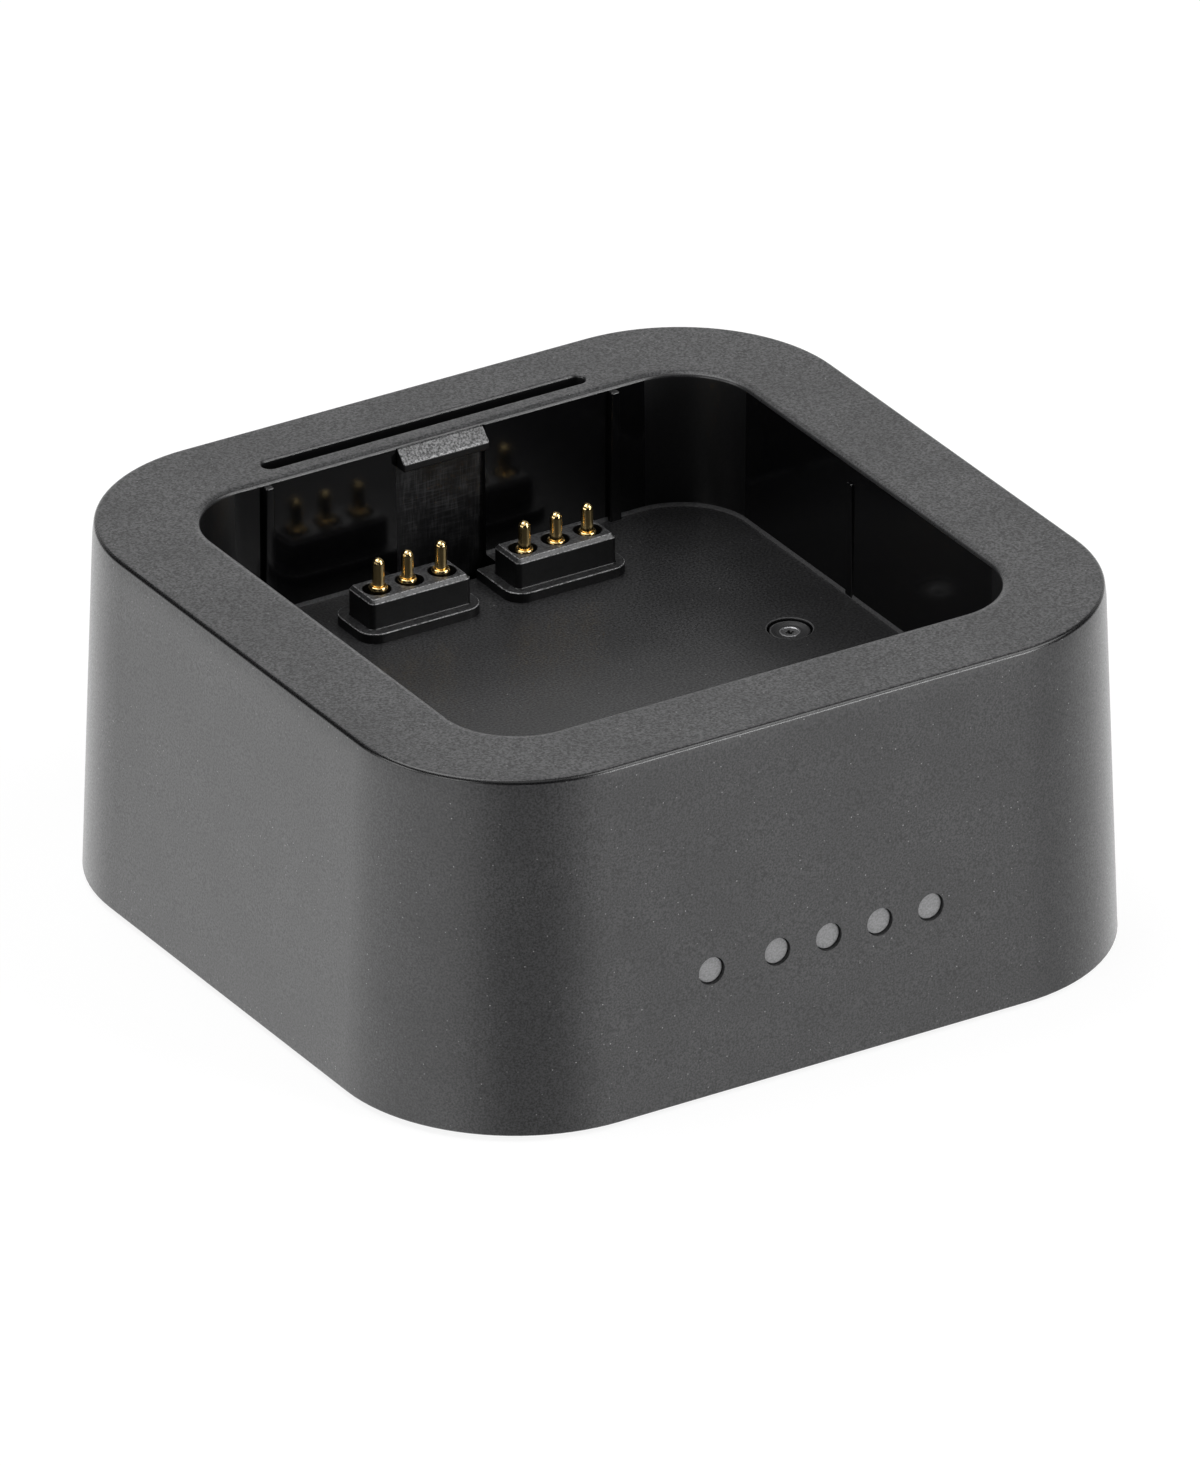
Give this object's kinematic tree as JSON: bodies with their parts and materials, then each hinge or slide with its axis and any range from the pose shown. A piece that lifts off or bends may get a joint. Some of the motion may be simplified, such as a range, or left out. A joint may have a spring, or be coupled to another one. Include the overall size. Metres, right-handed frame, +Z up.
{
  "type": "camera flash battery charger",
  "caption": "Square drop-in battery charger with a rounded body, an open bay with spring contacts on raised towers, a latch hook, indicator lights and a power inlet.",
  "frame": {"origin": "on the desk, under the middle of the body", "axes": "+X along the front face, to the right as seen from the front; +Y to the back, towards the power inlet; +Z up, out of the bay"},
  "size_m": [0.093, 0.0914, 0.042],
  "materials": {
    "shell_abs": "matt spark texture, gloss on the bay walls",
    "base_abs": "matt",
    "feet_rubber": "matt",
    "black_screw_steel": "black oxide, semi-gloss",
    "zinc_screw_steel": "zinc plated",
    "circuit_board": "green solder mask",
    "header_nylon": "moulded",
    "gold_plated_brass": "polished gold plate",
    "spring_steel": "drawn wire",
    "guide_acrylic": "frosted smoke grey",
    "led_package": "white package",
    "inlet_steel": "drawn stainless sheet",
    "ferrite": "sintered",
    "capacitor_can": "drawn can",
    "chip_epoxy": "moulded epoxy",
    "ceramic_chip": "fired ceramic"
  },
  "bodies": {
    "housing": {"top_shell": "shell_abs", "base_plate": "base_abs", "rubber_feet": "feet_rubber", "floor_screws": "black_screw_steel", "board_screws": "zinc_screw_steel", "contact_board_screws": "zinc_screw_steel", "main_board": "circuit_board", "contact_board": "circuit_board", "board_header": "header_nylon", "header_pins": "gold_plated_brass", "pin_barrels": "gold_plated_brass", "contact_spring_1": "spring_steel", "contact_spring_2": "spring_steel", "contact_spring_3": "spring_steel", "contact_spring_4": "spring_steel", "contact_spring_5": "spring_steel", "contact_spring_6": "spring_steel", "light_guide": "guide_acrylic", "indicator_leds": "led_package", "usb_shell": "inlet_steel", "usb_tongue": "header_nylon", "usb_contacts": "gold_plated_brass", "power_inductor": "ferrite", "filter_capacitors": "capacitor_can", "charge_controller": "chip_epoxy", "power_transistors": "chip_epoxy", "chip_parts": "ceramic_chip"},
    "plunger_1": {"contact_plunger_1": "gold_plated_brass"},
    "plunger_2": {"contact_plunger_2": "gold_plated_brass"},
    "plunger_3": {"contact_plunger_3": "gold_plated_brass"},
    "plunger_4": {"contact_plunger_4": "gold_plated_brass"},
    "plunger_5": {"contact_plunger_5": "gold_plated_brass"},
    "plunger_6": {"contact_plunger_6": "gold_plated_brass"}
  },
  "joints": [
    {"name": "plunger_1_travel", "type": "slide", "parent": "housing", "child": "plunger_1", "axis": [0, 0, -1], "range_m": [0, 0.0016], "stiffness_N_per_m": 300, "springref_m": -0.001, "deforming": ["contact_spring_1"]},
    {"name": "plunger_2_travel", "type": "slide", "parent": "housing", "child": "plunger_2", "axis": [0, 0, -1], "range_m": [0, 0.0016], "stiffness_N_per_m": 300, "springref_m": -0.001, "deforming": ["contact_spring_2"]},
    {"name": "plunger_3_travel", "type": "slide", "parent": "housing", "child": "plunger_3", "axis": [0, 0, -1], "range_m": [0, 0.0016], "stiffness_N_per_m": 300, "springref_m": -0.001, "deforming": ["contact_spring_3"]},
    {"name": "plunger_4_travel", "type": "slide", "parent": "housing", "child": "plunger_4", "axis": [0, 0, -1], "range_m": [0, 0.0016], "stiffness_N_per_m": 300, "springref_m": -0.001, "deforming": ["contact_spring_4"]},
    {"name": "plunger_5_travel", "type": "slide", "parent": "housing", "child": "plunger_5", "axis": [0, 0, -1], "range_m": [0, 0.0016], "stiffness_N_per_m": 300, "springref_m": -0.001, "deforming": ["contact_spring_5"]},
    {"name": "plunger_6_travel", "type": "slide", "parent": "housing", "child": "plunger_6", "axis": [0, 0, -1], "range_m": [0, 0.0016], "stiffness_N_per_m": 300, "springref_m": -0.001, "deforming": ["contact_spring_6"]}
  ]
}
